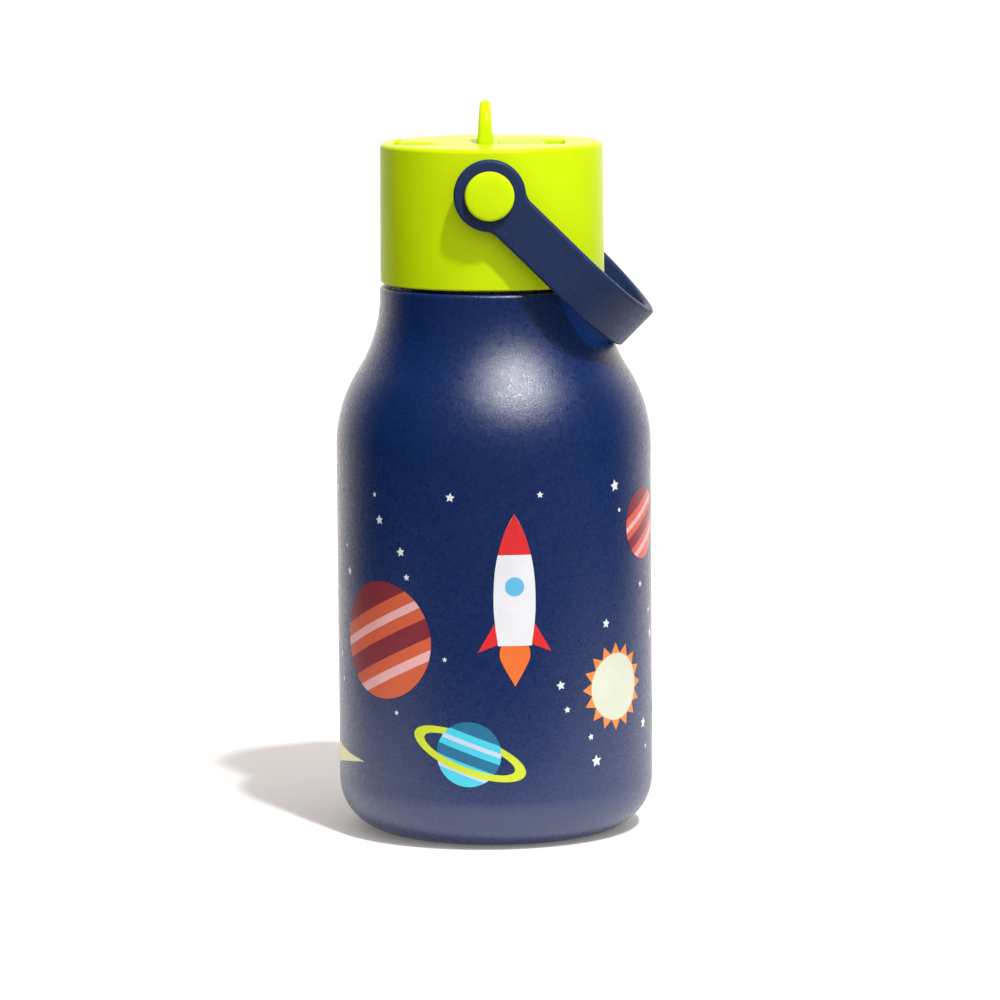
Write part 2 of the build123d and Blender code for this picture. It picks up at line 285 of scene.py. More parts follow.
def rounded_slab(bm, outline, low, high, edge_r, place):
    """Plate with rounded rims; place(x, y, height) puts a point of its own plane in space."""
    rim = rim_levels(edge_r, RIM_FLAT)
    levels = [(drawn_in, low + lift) for drawn_in, lift in rim]
    levels += [(drawn_in, high - lift) for drawn_in, lift in rim[::-1]]
    loft(bm, [[place(x, y, level) for x, y in inset(outline, drawn_in)]
              for drawn_in, level in levels])


# =============================================================== materials
def srgb(*parts):
    """Colour from screen values of 0 to 255."""
    return tuple((p / 255 / 12.92) if p < 10 else ((p / 255 + 0.055) / 1.055) ** 2.4
                 for p in parts)


def link(tree, source, output, target, socket):
    tree.links.new(source.outputs[output], target.inputs[socket])


def texture(tree, kind, scale, **values):
    """Texture node on object coordinates; scale is cells in a millimetre."""
    coordinates = tree.nodes.new("ShaderNodeTexCoord")
    node = tree.nodes.new(kind)
    link(tree, coordinates, "Object", node, "Vector")
    node.inputs["Scale"].default_value = scale / MM
    for name, value in values.items():
        node.inputs[name].default_value = value
    return node


def remap(tree, source, output, low, high, to_low, to_high):
    node = tree.nodes.new("ShaderNodeMapRange")
    link(tree, source, output, node, "Value")
    for name, value in (("From Min", low), ("From Max", high),
                        ("To Min", to_low), ("To Max", to_high)):
        node.inputs[name].default_value = value
    return node


def add_bump(tree, shader, source, output, height, below=None):
    """Bump of a height in millimetres, stacked on another bump where one is given."""
    bump = tree.nodes.new("ShaderNodeBump")
    bump.inputs["Strength"].default_value = 1.0
    bump.inputs["Distance"].default_value = height * MM
    link(tree, source, output, bump, "Height")
    if below:
        link(tree, below, "Normal", bump, "Normal")
    link(tree, bump, "Normal", shader, "Normal")
    return bump


def mix_colours(tree, factor, output, first, second):
    node = tree.nodes.new("ShaderNodeMix")
    node.data_type = "RGBA"
    link(tree, factor, output, node, "Factor")
    node.inputs["A"].default_value = (*first, 1)
    node.inputs["B"].default_value = (*second, 1)
    return node


def scaled(colour, by):
    return tuple(min(1.0, part * by) for part in colour)


def surface(name, colour, roughness, grain, grain_height, wander=0.06, mottle=0.96, **sockets):
    """Material with a fine moulded or sprayed grain, slight mottling and uneven gloss."""
    material = bpy.data.materials.new(name)
    material.use_nodes = True
    tree = material.node_tree
    shader = tree.nodes["Principled BSDF"]
    for socket, value in sockets.items():
        shader.inputs[socket.replace("_", " ")].default_value = value
    cloud = texture(tree, "ShaderNodeTexNoise", 0.12, Detail=4.0)
    tint = mix_colours(tree, remap(tree, cloud, "Fac", 0.35, 0.65, 0, 1), "Result",
                       scaled(colour, mottle), scaled(colour, 2 - mottle))
    link(tree, tint, "Result", shader, "Base Color")
    gloss = texture(tree, "ShaderNodeTexNoise", 0.9, Detail=6.0)
    uneven = remap(tree, gloss, "Fac", 0.3, 0.7, roughness - wander, roughness + wander)
    link(tree, uneven, "Result", shader, "Roughness")
    grit = texture(tree, "ShaderNodeTexNoise", grain, Detail=3.0)
    add_bump(tree, shader, grit, "Fac", grain_height)
    return material


def shader_of(material):
    return material.node_tree, material.node_tree.nodes["Principled BSDF"]


def specked(material, scale, share, colour):
    """Adds scattered fine specks of another colour to a material."""
    tree, shader = shader_of(material)
    cells = texture(tree, "ShaderNodeTexVoronoi", scale)
    pick = tree.nodes.new("ShaderNodeSeparateColor")
    link(tree, cells, "Color", pick, "Color")
    specks = remap(tree, pick, "Red", 1 - share, 1 - share * 0.95, 0, 1)
    blend = tree.nodes.new("ShaderNodeMix")
    blend.data_type = "RGBA"
    link(tree, specks, "Result", blend, "Factor")
    link(tree, shader.inputs["Base Color"].links[0].from_node, "Result", blend, "A")
    blend.inputs["B"].default_value = (*colour, 1)
    link(tree, blend, "Result", shader, "Base Color")
    return material


def powder_coat(name, colour, speck_colour):
    """Sprayed powder coat: orange peel over a fine grit, with small paler specks."""
    material = surface(name, colour, 0.29, 4.4, 0.08, wander=0.05, Specular_IOR_Level=0.95)
    tree, shader = shader_of(material)
    peel = texture(tree, "ShaderNodeTexNoise", 0.7, Detail=2.0)
    add_bump(tree, shader, peel, "Fac", 0.03, below=shader.inputs["Normal"].links[0].from_node)
    return specked(material, 7.0, 0.05, speck_colour)


def lime_surface(name, colour, roughness, grain_height, **values):
    """Lime plastic or silicone that lets a little light in."""
    return surface(name, colour, roughness, grain_height=grain_height, Subsurface_Weight=0.10,
                   Subsurface_Radius=LIME_SCATTER, Subsurface_Scale=1.0, **values)


def steel(name, colour, roughness, rings=False):
    """Stainless steel with fine lines: rings about the bottle's axis, or else level lines."""
    material = surface(name, colour, roughness, 2.0, 0.004, Metallic=0.8)
    tree, shader = shader_of(material)
    coordinates = tree.nodes.new("ShaderNodeTexCoord")
    parts = tree.nodes.new("ShaderNodeSeparateXYZ")
    link(tree, coordinates, "Object", parts, "Vector")
    line = tree.nodes.new("ShaderNodeCombineXYZ")
    if rings:
        flat = tree.nodes.new("ShaderNodeCombineXYZ")
        link(tree, parts, "X", flat, "X")
        link(tree, parts, "Y", flat, "Y")
        length = tree.nodes.new("ShaderNodeVectorMath")
        length.operation = "LENGTH"
        link(tree, flat, "Vector", length, 0)
        link(tree, length, "Value", line, "X")
    else:
        link(tree, parts, "Z", line, "X")
    scratches = tree.nodes.new("ShaderNodeTexNoise")
    scratches.inputs["Scale"].default_value = 7 / MM
    scratches.inputs["Detail"].default_value = 3.0
    link(tree, line, "Vector", scratches, "Vector")
    add_bump(tree, shader, scratches, "Fac", 0.010,
             below=shader.inputs["Normal"].links[0].from_node)
    return material


LIME_SCATTER = (0.9 * MM, 1.0 * MM, 0.1 * MM)

coat = powder_coat("navy_powder_coat", (0.0004, 0.0155, 0.092), (0.004, 0.026, 0.12))
lime = lime_surface("lime_plastic", (0.525, 0.71, 0.001), 0.36, 0.007, grain=5.0, wander=0.04,
                    mottle=0.985, Specular_IOR_Level=0.10)
lime_rubber = lime_surface("lime_silicone", (0.46, 0.64, 0.003), 0.48, 0.012, grain=4.0,
                           Specular_IOR_Level=0.2)
strap_rubber = specked(surface("strap_silicone", (0.0095, 0.0245, 0.086), 0.50, 4.0, 0.03,
                               Specular_IOR_Level=0.25),
                       2.4, 0.012, (0.02, 0.035, 0.10))
clear_rubber = surface("clear_silicone", (0.82, 0.83, 0.82), 0.40, 4.0, 0.008,
                       Transmission_Weight=0.35)
white_plastic = surface("liner_polypropylene", (0.80, 0.81, 0.80), 0.42, 4.0, 0.010)
straw_plastic = surface("straw_polypropylene", (0.83, 0.85, 0.86), 0.30, 3.0, 0.006,
                        Transmission_Weight=0.5)
neck_steel = steel("brushed_steel", (0.60, 0.60, 0.61), 0.27)
base_steel = steel("base_steel", (0.56, 0.56, 0.57), 0.32, rings=True)
pin_steel = steel("pin_steel", (0.58, 0.58, 0.59), 0.22)
solder = surface("seal_solder", (0.42, 0.43, 0.44), 0.38, 1.2, 0.05, Metallic=1.0)
getter_metal = surface("getter_metal", (0.30, 0.30, 0.31), 0.50, 5.0, 0.02, Metallic=1.0)


# =============================================================== bottle body
def body_profile(depth, bottom_r, top_r):
    """Half section of the body's wall at a depth under its outside, from the base to the neck."""
    base = (BODY_R - BASE_CORNER_R, BASE_CORNER_R)
    shoulder = (BODY_R - SHOULDER_BEND_R, SHOULDER_START)
    neck_z = SHOULDER_START + 2 * SHOULDER_BEND_R * sin(radians(SHOULDER_ANGLE))
    neck = (NECK_R + SHOULDER_BEND_R, neck_z)
    edge_r = max(NECK_EDGE_R - depth, 0.05)
    edge = (NECK_R - depth - edge_r, SHELL_TOP - depth - edge_r)
    points = [(bottom_r, depth)]
    points += arc(base, BASE_CORNER_R - depth, -90, 90, 20)
    points += arc(shoulder, SHOULDER_BEND_R - depth, 0, SHOULDER_ANGLE, 24)
    points += arc(neck, SHOULDER_BEND_R + depth, 180 + SHOULDER_ANGLE, -SHOULDER_ANGLE, 24)[1:]
    points += arc(edge, edge_r, 0, 90, 6)
    return points + [(top_r, SHELL_TOP - depth)]


def make_body():
    outside = body_profile(0, RECESS_R, NECK_HOLE_R)
    inside = body_profile(SHELL_WALL, RECESS_R + SHELL_WALL, NECK_HOLE_R)
    lip = [(RECESS_R + SHELL_WALL, RECESS_LIP), (RECESS_R, RECESS_LIP)]
    bm = lathe(outside + inside[::-1] + lip, 256)
    piece("body_shell", bm, "bottle", [coat], ["outer_shell"])


# =============================================================== lid
def distance_to(outline, turn):
    """How far a convex outline around the origin is in one direction."""
    ray_x, ray_y = cos(turn), sin(turn)
    reaches = []
    for (ax, ay), (bx, by) in zip([outline[-1]] + outline, outline):
        across = ray_x * (by - ay) - ray_y * (bx - ax)
        if across > 1e-12:
            reaches.append((ax * (by - ay) - ay * (bx - ax)) / across)
    return min(reaches)


def bay_outline(grown):
    """Plan of the spout's bay, grown outwards by a distance."""
    half_w = BAY_HALF_W + grown
    return rectangle(BAY_LEFT - grown, BAY_RIGHT + grown, -half_w, half_w, BAY_CORNER_R + grown)


def make_lid():
    bay_corners = [atan2(y, x) % (2 * pi) for x, y in bay_outline(0)]
    turns = sorted([radians(1.5 * i) for i in range(240)] + bay_corners)
    turns = [t for t, before in zip(turns, [-1] + turns) if t - before > radians(0.15)]

    def ring(r, z):
        return [(r * cos(t), r * sin(t), z) for t in turns]

    def bay_ring(grown, z):
        outline = bay_outline(grown)
        reaches = [(t, distance_to(outline, t)) for t in turns]
        return [(reach * cos(t), reach * sin(t), z) for t, reach in reaches]

    top_r = LID_R - LID_DRAFT
    profile = [(UPPER_INNER_R, BAY_FLOOR - BAY_WALL), (UPPER_INNER_R, PLATE_TOP),
               (LINER_R, PLATE_TOP), (LINER_R, LID_BOTTOM + SKIRT_CHAMFER),
               (LINER_R + SKIRT_CHAMFER, LID_BOTTOM)]
    profile += arc((LID_R - SKIRT_EDGE_R, LID_BOTTOM + SKIRT_EDGE_R), SKIRT_EDGE_R, -90, 90, 5)
    profile += arc((top_r - LID_EDGE_R, LID_TOP - LID_EDGE_R), LID_EDGE_R, 0, 90, 8)
    profile += [(top_r - LID_EDGE_R - EDGE_FLAT, LID_TOP)]
    rings = [ring(r, z) for r, z in profile]
    rings += [bay_ring(BAY_RIM_R + RIM_FLAT, LID_TOP)]
    for t in (0, 0.31, 0.63, 0.94, 1.26, pi / 2):
        rings += [bay_ring(BAY_RIM_R * (1 - sin(t)), LID_TOP - BAY_RIM_R * (1 - cos(t)))]
    for t in (0, 0.52, 1.05, pi / 2):
        rings += [bay_ring(-BAY_FOOT_R * (1 - cos(t)), BAY_FLOOR + BAY_FOOT_R * (1 - sin(t)))]
    rings += [bay_ring(-BAY_FOOT_R - RIM_FLAT, BAY_FLOOR)]
    bm = bmesh.new()
    loft(bm, rings)
    piece("lid", bm, "lid", [lime], ["lid_shell"])
    for name, side in (("front", -1), ("rear", 1)):
        boss = [(0, BOSS_INNER_Y), (BOSS_R, BOSS_INNER_Y)]
        boss += arc((BOSS_R - BOSS_EDGE_R, BOSS_OUTER_Y - BOSS_EDGE_R), BOSS_EDGE_R, 0, 90, 4)
        boss += [(0, BOSS_OUTER_Y)]
        bm = lathe(boss, 64)
        turn_outwards(bm, side)
        piece("lid_boss_" + name, bm, "lid", [lime])


def turn_outwards(bm, side):
    """Stands a lathed part on the strap's pivot line, its top outwards."""
    place = Matrix.Translation((0, 0, PIVOT_Z)) @ Matrix.Rotation(radians(-90 * side), 4, "X")
    bmesh.ops.transform(bm, matrix=place, verts=bm.verts)


def make_studs():
    """Snap studs: a barbed post through the boss, and a slightly domed head outside the strap."""
    barb_tip_r, barb_r, post_r = 2.7, 3.7, 3.0
    back_edge_r, face_edge_r, dome = 0.3, 0.7, 0.2
    dome_points = ((3.2, 0.07), (1.6, 0.02), (0, 0))
    head_y = STUD_OUT_Y - STUD_HEAD_T
    face_edge = (STUD_R - face_edge_r, STUD_OUT_Y - dome - face_edge_r)
    for name, side in (("front", -1), ("rear", 1)):
        outline = [(0, STUD_IN_Y), (barb_tip_r, STUD_IN_Y), (barb_r, BOSS_INNER_Y),
                   (post_r, BOSS_INNER_Y), (post_r, head_y)]
        outline += arc((STUD_R - back_edge_r, head_y + back_edge_r), back_edge_r, -90, 90, 3)
        outline += arc(face_edge, face_edge_r, 0, 78, 6)
        outline += [(r, STUD_OUT_Y - drop) for r, drop in dome_points]
        bm = lathe(outline, 96)
        turn_outwards(bm, side)
        piece("stud_" + name, bm, "lid", [lime], ["strap_button_" + name])


# =============================================================== spout
def add_arm(bm):
    """Arm that lies in the bay, with the hinge barrel at its left end."""
    def across(x, z, y):
        return x, y, z

    flat_z = LID_TOP + ARM_RISE
    meet = sqrt(BARREL_R ** 2 - (flat_z - HINGE_Z) ** 2)
    below = sqrt(BARREL_R ** 2 - (HINGE_Z - ARM_UNDERSIDE) ** 2)
    start = degrees(atan2(flat_z - HINGE_Z, -meet))
    end = 360 - degrees(atan2(HINGE_Z - ARM_UNDERSIDE, below))
    outline = [(ARM_END, ARM_UNDERSIDE), (ARM_END, LID_TOP),
               (HINGE_X + meet + ARM_RAMP, LID_TOP), (HINGE_X + meet, flat_z)]
    outline += arc((HINGE_X, HINGE_Z), BARREL_R, start, end - start, 40)
    rounded_slab(bm, outline, -SPOUT_HALF_W, SPOUT_HALF_W, ARM_EDGE_R, across)


def add_fin(bm):
    """Upright finger fin with a round crown, flared where it meets the arm."""
    foot = LID_TOP - FIN_ROOT_DEPTH
    arch = [(-SPOUT_HALF_W, foot), (SPOUT_HALF_W, foot)]
    arch += arc((0, FIN_TOP - SPOUT_HALF_W), SPOUT_HALF_W, 0, 180, 40)

    def half_thickness(z):
        climb = (z - LID_TOP) / (FIN_TOP - LID_TOP)
        flare = max(0.0, min(1.0, 1 - (z - LID_TOP) / FIN_FLARE_H)) ** 2
        return (FIN_ROOT_T + (FIN_CREST_T - FIN_ROOT_T) * climb + FIN_FLARE_T * flare) / 2

    # Half of the softened edge: distance in from the arch, and share of the half thickness.
    half_edge = [(1.5, 1), (1.0, 1), (0.62, 0.95), (0.3, 0.82), (0.08, 0.55), (0, 0.2)]
    edge = [(drawn_in, -share) for drawn_in, share in half_edge] + half_edge[::-1]
    loft(bm, [[(FIN_X + share * half_thickness(z), y, z) for y, z in inset(arch, drawn_in)]
              for drawn_in, share in edge])


def make_spout():
    bm = bmesh.new()
    add_arm(bm)
    add_fin(bm)
    piece("spout_arm", bm, "spout", [lime], ["spout_body"])


def make_mouthpiece():
    """Soft sleeve over the end of the spout, with its drinking hole."""
    middle, half_h = (ARM_UNDERSIDE + LID_TOP) / 2, (LID_TOP - ARM_UNDERSIDE) / 2
    joint_x = ARM_END + 0.03
    nose, narrows_y, narrows_z, corner_r = 2.2, 1.6, 1.5, 1.0
    rings = []

    def ring(x, half_width, half_height, radius):
        outline = rectangle(-half_width, half_width, middle - half_height, middle + half_height,
                            radius, 8)
        rings.append([(x, y, z) for y, z in outline])

    for ahead, drawn_in, radius in ((0, 0.5, 0.6), (0, 0.15, 0.8), (0.15, 0, corner_r)):
        ring(joint_x + ahead, SPOUT_HALF_W - drawn_in, half_h - drawn_in, radius)
    for angle in range(0, 91, 18):
        back, shrink = 1 - sin(radians(angle)), 1 - cos(radians(angle))
        ring(TIP_X - nose * back, SPOUT_HALF_W - narrows_y * shrink, half_h - narrows_z * shrink,
             corner_r + 0.9 * shrink)
    for depth, wider in ((0, 0.35), (0.1, 0.1), (0.4, 0), (5.0, 0)):
        r = DRINKING_HOLE_R + wider
        ring(TIP_X - depth, r, r, r - 0.01)
    bm = bmesh.new()
    loft(bm, rings)
    piece("mouthpiece_sleeve", bm, "spout", [lime_rubber], ["mouthpiece"])


# =============================================================== strap
def strap_path():
    """Points along the middle of the U, from the front eye to the rear one, and their distances."""
    straight_steps, bend_steps = 10, 240
    reach = STRAP_REACH - STRAP_STRAIGHT - STRAP_T / 2
    half = STRAP_INNER_Y + STRAP_T / 2
    points = [Vector((STRAP_STRAIGHT * i / straight_steps, -half)) for i in range(straight_steps)]
    points += [Vector((STRAP_STRAIGHT + reach * cos(t), half * sin(t)))
               for t in (-pi / 2 + pi * i / bend_steps for i in range(bend_steps + 1))]
    points += [Vector((STRAP_STRAIGHT * (1 - i / straight_steps), half))
               for i in range(1, straight_steps + 1)]
    lengths = [0.0]
    for a, b in zip(points, points[1:]):
        lengths.append(lengths[-1] + (b - a).length)
    return points, lengths


def strap_outline(total):
    """The strap laid flat: a band with a round eye at x = 0 and at x = total."""
    half_w = STRAP_W / 2
    neck_x = sqrt((EYE_R + EYE_NECK_R) ** 2 - (half_w + EYE_NECK_R) ** 2)
    lean = degrees(atan2(half_w + EYE_NECK_R, neck_x))
    neck = arc((neck_x, half_w + EYE_NECK_R), EYE_NECK_R, 270, lean - 90, 10)
    eye = arc((0, 0), EYE_R, lean, 360 - 2 * lean, 72)
    left = neck + eye[1:-1] + [(x, -y) for x, y in neck[::-1]]
    return left + [(total - x, -y) for x, y in left]


def flat_strap(total):
    """Closed mesh of the strap laid flat, with rounded rims and cut across where it will bend."""
    bm = bmesh.new()

    def skin(loop, sign, rim):
        levels = [(drawn_in, STRAP_T / 2 - drop) for drawn_in, drop in rim]
        levels += [(drawn_in, -h) for drawn_in, h in levels[::-1]]
        rings = [[(x, y, h) for x, y in inset(loop, sign * drawn_in)] for drawn_in, h in levels]
        return loft(bm, rings, caps=(False, False))

    hole_rim = [(0.5, 0), (0.2, 0), (0.05, 0.08), (0, 0.25)]
    skins = [skin(strap_outline(total), 1, rim_levels(STRAP_RIM_R, EDGE_FLAT))]
    skins += [skin(circle(EYE_HOLE_R, (x, 0), 48), -1, hole_rim) for x in (0, total)]
    for level in (0, -1):
        loops = [rings[level] for rings in skins]
        edges = [bm.edges.get((loop[i - 1], loop[i])) for loop in loops for i in range(len(loop))]
        bmesh.ops.triangle_fill(bm, edges=edges, use_beauty=True, use_dissolve=False)
    bent = total - 2 * STRAP_STRAIGHT
    cuts = int(bent)
    cut_across(bm, [STRAP_STRAIGHT + bent * i / cuts for i in range(cuts + 1)])
    return bm


def cut_across(bm, places):
    """Cuts every face at each x, so that the mesh can bend there."""
    for x in places:
        bmesh.ops.bisect_plane(bm, geom=bm.verts[:] + bm.edges[:] + bm.faces[:],
                               plane_co=(x, 0, 0), plane_no=(1, 0, 0), dist=1e-5)


def make_strap():
    points, lengths = strap_path()
    bm = flat_strap(lengths[-1])
    tilt = radians(STRAP_ANGLE)
    along, across = Vector((cos(tilt), 0, -sin(tilt))), Vector((sin(tilt), 0, cos(tilt)))

    def bend(at):
        """The path's point at a distance along it, and the outward direction there."""
        k = 0
        while k < len(lengths) - 2 and lengths[k + 1] < at:
            k += 1
        a, b = points[k], points[k + 1]
        before = points[k - 1] if k > 0 else a - (b - a)
        after = points[k + 2] if k + 2 < len(points) else b + (b - a)
        share = (at - lengths[k]) / (lengths[k + 1] - lengths[k])
        way_in, way_out = (b - before).normalized(), (after - a).normalized()
        way = way_in.lerp(way_out, min(max(share, 0), 1)).normalized()
        return a + (b - a) * share, Vector((way.y, -way.x))

    for vert in bm.verts:
        middle, outward = bend(vert.co.x)
        flat = middle + outward * vert.co.z
        vert.co = (along * flat.x + Vector((0, flat.y, 0)) + across * vert.co.y
                   + Vector((0, 0, PIVOT_Z)))
    piece("strap_band", bm, "strap", [strap_rubber], ["strap"])


# =============================================================== printed motifs
INK_SUNK = 0.08
INK_LIFT = 0.03
LAYER_LIFT = 0.012
INK_STRENGTH = 0.82

INKS = {
    "star_white": srgb(228, 232, 238), "red": srgb(225, 30, 38), "orange": srgb(236, 112, 38),
    "rust": srgb(216, 98, 62), "maroon": srgb(134, 42, 56), "pale_pink": srgb(240, 182, 182),
    "salmon": srgb(222, 92, 78), "cream": srgb(216, 222, 202), "ray_orange": srgb(238, 140, 62),
    "pale_yellow": srgb(250, 228, 150), "comet_yellow": srgb(238, 240, 170),
    "ring_lime": srgb(206, 222, 40), "teal": srgb(66, 206, 230), "sky": srgb(92, 186, 228),
    "deep_teal": srgb(28, 112, 152), "lavender": srgb(196, 212, 240),
    "violet": srgb(120, 92, 180), "deep_violet": srgb(72, 52, 130), "lilac": srgb(186, 164, 226),
    "leaf_green": srgb(86, 178, 104), "deep_green": srgb(40, 116, 70),
}
inks = {}


def ink(name):
    """Flat printing ink that shows the grit of the coat under it."""
    if name not in inks:
        inks[name] = surface("ink_" + name, scaled(INKS[name], INK_STRENGTH), 0.34, 3.4, 0.05,
                             mottle=0.97, Specular_IOR_Level=0.7)
    return inks[name]


def motif(name, angle, height, layers, turn=0):
    """Printed motif wrapped on the body. Layers are (ink, outline) in mm about its centre, x to
    the right and y up as seen from outside, each layer a little above the one before."""
    names = list(dict.fromkeys(ink_name for ink_name, _ in layers))
    centre = (radians(angle) * BODY_R, height)
    bm = bmesh.new()
    for level, (ink_name, outline) in enumerate(layers):
        flat = moved(outline, centre, turn)
        bottom, top = [[bm.verts.new((x, y, h)) for x, y in flat]
                       for h in (-INK_SUNK, INK_LIFT + LAYER_LIFT * level)]
        bridge(bm, bottom, top)
        faces = [bm.faces.new(bottom), bm.faces.new(top)]
        for face in set(f for vert in bottom for f in vert.link_faces) | set(faces):
            face.material_index = names.index(ink_name)
    bm.normal_update()
    bmesh.ops.triangulate(bm, faces=bm.faces)
    spread = [vert.co.x for vert in bm.verts]
    cut_across(bm, range(floor(min(spread)), ceil(max(spread)) + 1))
    for vert in bm.verts:
        turn_to, r = vert.co.x / BODY_R, BODY_R + vert.co.z
        vert.co = (r * sin(turn_to), -r * cos(turn_to), vert.co.y)
    piece("print_" + name, bm, "bottle", [ink(n) for n in names])


def star_outline(size, turn):
    """Five-pointed star whose inner corners are at half its size."""
    corners = [(size * (0.5 if i % 2 else 1), radians(90 + 36 * i)) for i in range(10)]
    return moved([(r * cos(t), r * sin(t)) for r, t in corners], (0, 0), turn)


def rocket(name, angle, height, turn=0):
    """Plain pointed tube with a round window, two fins and a flame."""
    hull = mirrored(smooth([(0, 18), (2.3, 13.5), (4.2, 6), (4.6, -3), (3.7, -11)]))
    layers = [
        ("red", [(3.2, -4), (8.2, -12.5), (3.2, -10.5)]),
        ("red", [(-3.2, -4), (-3.2, -10.5), (-8.2, -12.5)]),
        ("orange", mirrored(smooth([(3.0, -10.8), (3.2, -14), (0, -20)]))),
        ("star_white", hull),
        ("red", clipped(rectangle(-6, 6, 9, 20), hull[::-1])),
        ("sky", circle(2.1, (0, 2), 40)),
    ]
    motif(name, angle, height, layers, turn)


def planet_layers(radius, ground, dark, pale, tilt):
    """Ball with plain straight stripes, each from one share of the radius to another."""
    ball = circle(radius, steps=72)
    layers = [(ground, ball)]
    stripes = ((dark, 0.58, 1.1), (pale, 0.22, 0.36), (dark, -0.30, 0.02), (pale, -0.66, -0.50))
    for colour, low, high in stripes:
        stripe = rectangle(-1.1 * radius, 1.1 * radius, low * radius, high * radius)
        layers.append((colour, clipped(moved(stripe, (0, 0), tilt), ball)))
    return layers


def planet(name, angle, height, radius, inks_used, tilt=25):
    motif(name, angle, height, planet_layers(radius, *inks_used, tilt))


def ringed_planet(name, angle, height, radius, inks_used, ring_ink, tilt=-20):
    """Striped ball with a flat ring: half of it behind the ball, half in front."""
    def half_ring(start):
        out = arc((0, 0), 1, start, 180, 40)
        ring = [(1.85 * radius * x, 0.60 * radius * y) for x, y in out]
        ring += [(1.50 * radius * x, 0.40 * radius * y) for x, y in out[::-1]]
        return (ring_ink, moved(ring, (0, 0), tilt))
    layers = [half_ring(0), *planet_layers(radius, *inks_used, tilt), half_ring(180)]
    motif(name, angle, height, layers)


def sun(name, angle, height, radius):
    """Disc with short pointed rays."""
    rays, ray_reach = 16, 1.32
    edge = []
    for i in range(2 * rays):
        reach = radius * (1.0 if i % 2 else ray_reach)
        edge.append((reach * cos(pi * i / rays), reach * sin(pi * i / rays)))
    motif(name, angle, height, [("ray_orange", edge), ("cream", circle(radius))])


def comet(name, angle, height):
    """Round head with one tapering tail."""
    layers = [("comet_yellow", [(0, -2), (15, 0), (0, 2)]),
              ("pale_yellow", circle(2.4, steps=40))]
    motif(name, angle, height, layers)


def moon(name, angle, height, turn):
    """Crescent between two arcs that meet at its tips."""
    outer = arc((0, 0), 6.6, 63.4, 233.2, 40)
    inner = arc((2.9, 0), 5.9, 270.6, -181.2, 40)
    motif(name, angle, height, [("cream", outer + inner[1:-1])], turn)


WARM = ("rust", "maroon", "pale_pink")
SALMON = ("salmon", "maroon", "pale_pink")
COOL = ("teal", "deep_teal", "lavender")
SKY = ("sky", "deep_teal", "lavender")
VIOLET = ("violet", "deep_violet", "lilac")
GREEN = ("leaf_green", "deep_green", "ring_lime")

# Name, drawing, angle from the front, height, room that the stars leave it, and its details.
MOTIFS = (
    ("rocket_front", rocket, 8, 57, 20, ()),
    ("planet_red", planet, -44, 46, 15, (13, WARM)),
    ("planet_salmon", planet, 70, 70, 10, (8, SALMON)),
    ("sun_front", sun, 50, 35, 12, (7.4,)),
    ("planet_ringed", ringed_planet, -9, 22, 15, (7.2, COOL, "ring_lime")),
    ("comet_left", comet, -80, 18, 16, ()),
    ("planet_violet", planet, 126, 52, 15, (12, VIOLET, -12)),
    ("planet_green", planet, 98, 26, 10, (8, GREEN, -20)),
    ("rocket_rear", rocket, -176, 54, 20, (14,)),
    ("moon_rear", moon, -128, 66, 9, (20,)),
    ("planet_ringed_rear", ringed_planet, 160, 22, 15, (7.2, WARM, "lavender")),
    ("planet_sky", planet, -138, 28, 10, (8, SKY, -30)),
)

STAR_TRIES = 120
STAR_SIZES = (1.4, 0.8, 1.1, 0.6)
STAR_LOW, STAR_SPAN = 14.5, 67
STAR_CLIMB = 26.7
GOLDEN_ANGLE = 137.5


def make_prints():
    """A plain space pattern: the motifs, and stars scattered by the golden angle between them."""
    for name, draw, angle, height, _, details in MOTIFS:
        draw(name, angle, height, *details)
    for i in range(STAR_TRIES):
        angle = (i * GOLDEN_ANGLE) % 360 - 180
        height = STAR_LOW + (i * STAR_CLIMB) % STAR_SPAN
        size = STAR_SIZES[i % len(STAR_SIZES)]
        gap = min(hypot(radians(wrapped(angle - a)) * BODY_R, height - h) - room
                  for _, _, a, h, room, _ in MOTIFS)
        if gap > size:
            lean = i * 37 % 24 - 12
            motif(f"star_{i:02d}", angle, height, [("star_white", star_outline(size, lean))])


# =============================================================== CAD nodes that stay in view
def dress(material, *nodes):
    for node in nodes:
        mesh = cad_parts[node].data
        mesh.materials.clear()
        mesh.materials.append(material)


make_body()
make_prints()
make_lid()
make_studs()
make_spout()
make_mouthpiece()
make_strap()
dress(neck_steel, "inner_vessel")
dress(base_steel, "base_cover", "sealing_bottom")
dress(solder, "vacuum_seal_bead")
dress(getter_metal, "getter")
dress(white_plastic, "lid_liner")
dress(clear_rubber, "lid_gasket", "spout_seat", "vent_valve")
dress(straw_plastic, "straw")
dress(pin_steel, "spout_hinge_pins")


# =============================================================== studio
def add_floor():
    """Small plate under the bottle: a large one would light the lid from below."""
    left, right, front, back = -0.15, 0.18, -0.08, 0.25
    mesh = bpy.data.meshes.new("floor")
    corners = [(left, front, 0), (right, front, 0), (right, back, 0), (left, back, 0)]
    mesh.from_pydata(corners, [], [(0, 1, 2, 3)])
    material = bpy.data.materials.new("floor_white")
    material.use_nodes = True
    shader = material.node_tree.nodes["Principled BSDF"]
    shader.inputs["Base Color"].default_value = (0.80, 0.80, 0.80, 1)
    shader.inputs["Roughness"].default_value = 0.7
    shader.inputs["Emission Color"].default_value = (1, 0.93, 0.89, 1)
    shader.inputs["Emission Strength"].default_value = 0.12
    mesh.materials.append(material)
    floor_sheet = bpy.data.objects.new("floor", mesh)
    bpy.context.collection.objects.link(floor_sheet)


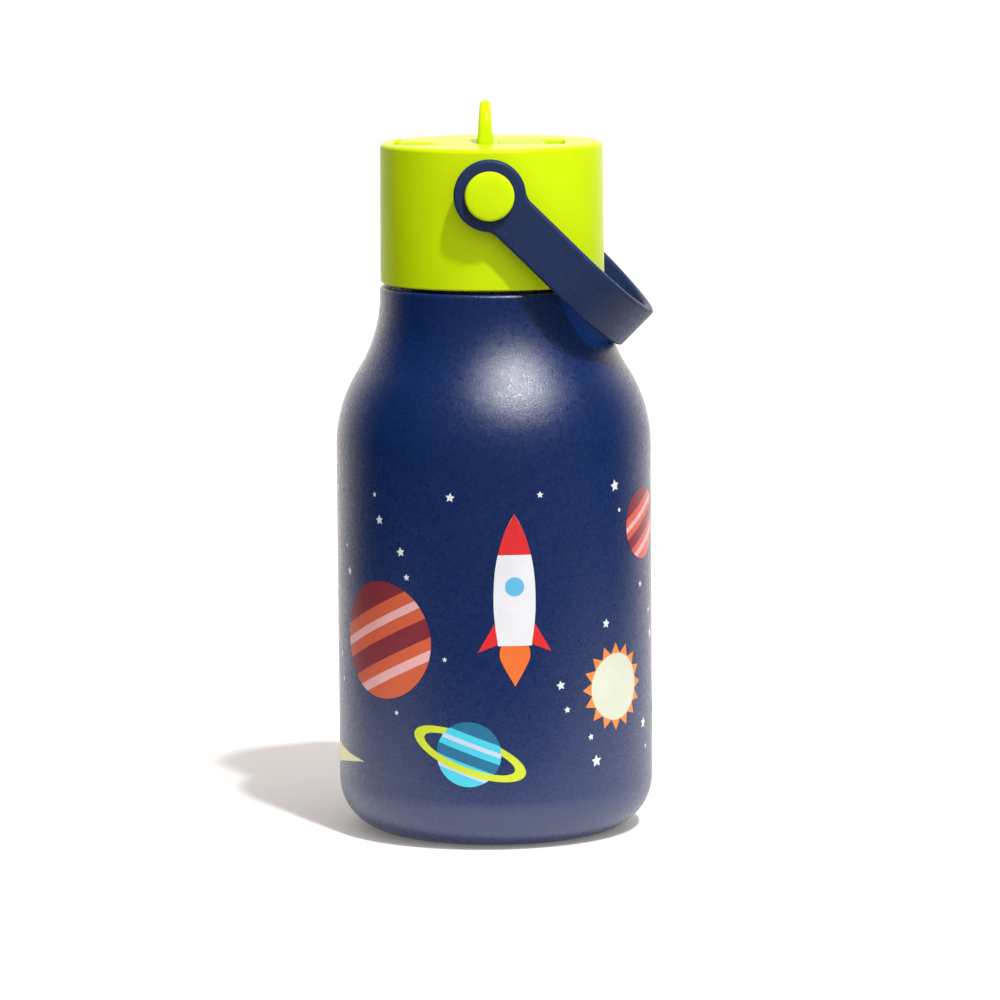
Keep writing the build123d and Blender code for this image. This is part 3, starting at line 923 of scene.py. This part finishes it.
def add_light(name, angle, energy, rise, shows_in):
    """Sun from the camera's upper right, seen either in the diffuse light or in the gloss."""
    data = bpy.data.lights.new(name, "SUN")
    data.angle = radians(angle)
    data.energy = energy
    light = bpy.data.objects.new(name, data)
    light.visible_diffuse = shows_in == "diffuse"
    light.visible_glossy = shows_in == "gloss"
    light.rotation_mode = "QUATERNION"
    light.rotation_quaternion = Vector((0.25, -0.47, rise)).to_track_quat("Z", "Y")
    bpy.context.collection.objects.link(light)


def add_world():
    """White studio: the gloss mirrors a bright side behind the bottle, and the rest is lit
    softly from the camera's upper right."""
    mirror_brightness, soft_brightness, backdrop_brightness = (0.0, 1.9), (0.05, 1.2), 1.2
    mirror_from, mirror_to = 0.48, 0.98
    soft_direction, soft_from, soft_to = (0.55, -0.75, 0.80), -0.5, 1
    world = bpy.data.worlds.new("studio")
    bpy.context.scene.world = world
    world.use_nodes = True
    tree = world.node_tree
    background = tree.nodes["Background"]
    coordinates = tree.nodes.new("ShaderNodeTexCoord")
    parts = tree.nodes.new("ShaderNodeSeparateXYZ")
    link(tree, coordinates, "Generated", parts, "Vector")
    mirrored_light = remap(tree, parts, "Y", mirror_from, mirror_to, *mirror_brightness)
    towards_soft = tree.nodes.new("ShaderNodeVectorMath")
    towards_soft.operation = "DOT_PRODUCT"
    link(tree, coordinates, "Generated", towards_soft, 0)
    towards_soft.inputs[1].default_value = soft_direction
    soft_light = remap(tree, towards_soft, "Value", soft_from, soft_to, *soft_brightness)
    rays = tree.nodes.new("ShaderNodeLightPath")
    lit = tree.nodes.new("ShaderNodeMix")
    link(tree, rays, "Is Glossy Ray", lit, "Factor")
    link(tree, soft_light, "Result", lit, "A")
    link(tree, mirrored_light, "Result", lit, "B")
    seen = tree.nodes.new("ShaderNodeMix")
    link(tree, rays, "Is Camera Ray", seen, "Factor")
    link(tree, lit, "Result", seen, "A")
    seen.inputs["B"].default_value = backdrop_brightness
    link(tree, seen, "Result", background, "Strength")
    background.inputs["Color"].default_value = (1, 0.94, 0.90, 1)


def add_camera():
    """Long lens, looking slightly down on the bottle from the front."""
    distance, height, aim_right = 1300 * MM, 245 * MM, 1.33 * MM
    pitch, roll, azimuth = radians(7.515), radians(-0.435), radians(0.9)
    data = bpy.data.cameras.new("camera")
    data.sensor_width = 36
    data.lens = 211.57
    data.clip_end = 30
    camera = bpy.data.objects.new("camera", data)
    bpy.context.collection.objects.link(camera)
    camera.location = (distance * sin(azimuth), -distance * cos(azimuth), height)
    turn = Matrix.Rotation(azimuth - aim_right / distance, 4, "Z")
    tilt = Matrix.Rotation(pi / 2 - pitch, 4, "X")
    camera.rotation_mode = "QUATERNION"
    camera.rotation_quaternion = (turn @ tilt @ Matrix.Rotation(roll, 4, "Z")).to_quaternion()
    bpy.context.scene.camera = camera


add_floor()
add_light("key", 3.5, 3.2, 0.85, "diffuse")
add_light("key_glow", 12, 3.5, 0.72, "gloss")
add_world()
add_camera()
bpy.context.scene.view_settings.view_transform = "Standard"
